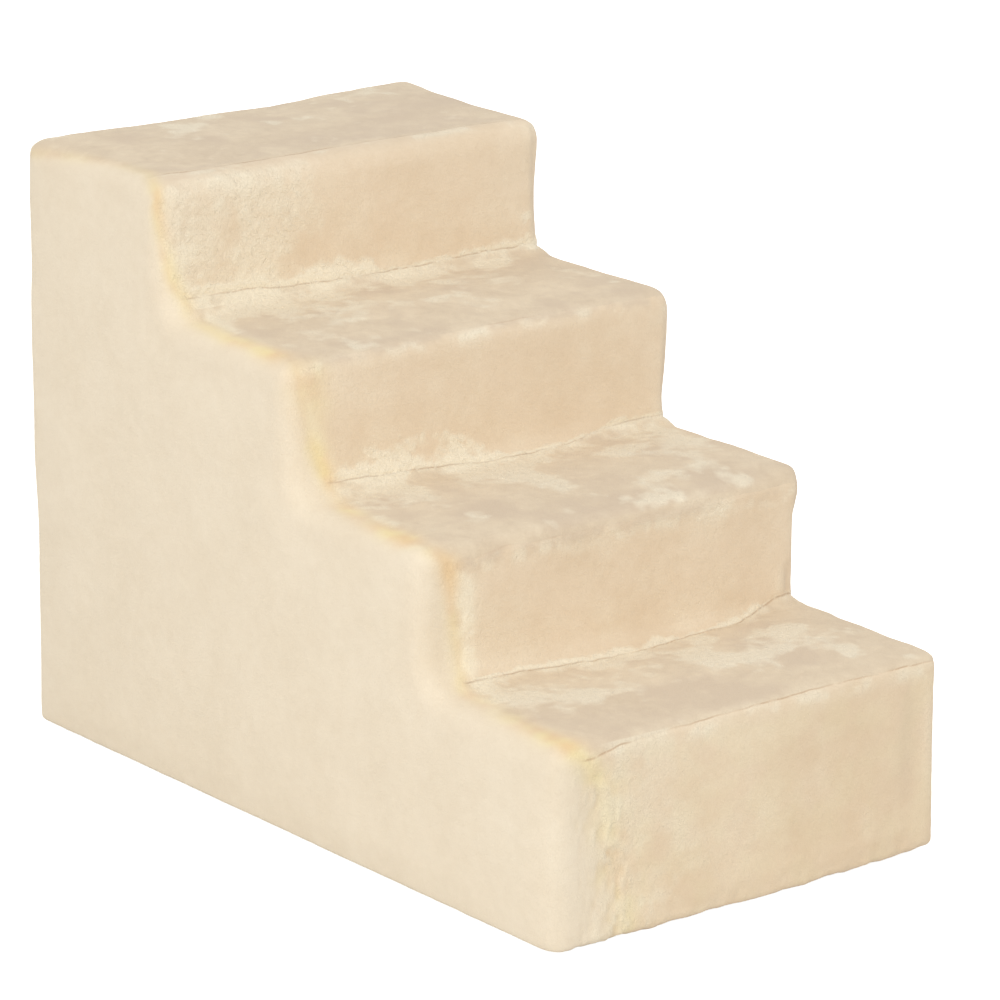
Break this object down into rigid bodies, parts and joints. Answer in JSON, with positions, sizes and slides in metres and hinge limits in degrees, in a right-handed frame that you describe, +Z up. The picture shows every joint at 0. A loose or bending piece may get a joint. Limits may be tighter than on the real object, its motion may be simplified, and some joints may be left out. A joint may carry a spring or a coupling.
{
  "type": "pet stairs",
  "caption": "Soft foam pet stairs in a washable plush cover that zips across the back, for small pets to climb to a bed or sofa.",
  "frame": {"origin": "middle of the base, on the floor", "axes": "+Z up, +Y along the climb from the lowest step to the back, X across the steps"},
  "size_m": [0.39, 0.6996, 0.5015],
  "materials": {
    "plush_tread": "brushed short plush",
    "plush_riser": "short plush",
    "plush_side": "short plush",
    "base_cloth": "non-slip dotted cloth",
    "foam": "open cell foam",
    "zipper_tape": "woven tape",
    "zipper_plastic": "moulded",
    "slider_metal": "nickel plated"
  },
  "bodies": {
    "stairs": {"back_hem_strip": "plush_side", "back_panel": "plush_side", "base_panel": "base_cloth", "foam_slab_1": "foam", "foam_slab_2": "foam", "foam_slab_3": "foam", "foam_slab_4": "foam", "left_side_panel": "plush_side", "right_side_panel": "plush_side", "riser_panel_1": "plush_riser", "riser_panel_2": "plush_riser", "riser_panel_3": "plush_riser", "riser_panel_4": "plush_riser", "tread_panel_1": "plush_tread", "tread_panel_2": "plush_tread", "tread_panel_3": "plush_tread", "tread_panel_4": "plush_tread", "zipper_bottom_stop": "zipper_plastic", "zipper_tape_lower": "zipper_tape", "zipper_tape_upper": "zipper_tape", "zipper_teeth_lower": "zipper_plastic", "zipper_teeth_upper": "zipper_plastic", "zipper_top_stop": "zipper_plastic"},
    "zip_slider": {"zipper_slider": "slider_metal"},
    "zip_pull": {"zipper_pull": "slider_metal"}
  },
  "joints": [
    {"name": "zip_slide", "type": "slide", "parent": "stairs", "child": "zip_slider", "axis": [1, 0, 0], "range_m": [-0.32, 0], "deforming": ["zipper_teeth_upper", "zipper_teeth_lower"]},
    {"name": "pull_swing", "type": "hinge", "parent": "zip_slider", "child": "zip_pull", "pos_m": [0.16, 0.3484, 0.06], "axis": [0, 0, -1], "range_deg": [0, 170]}
  ]
}
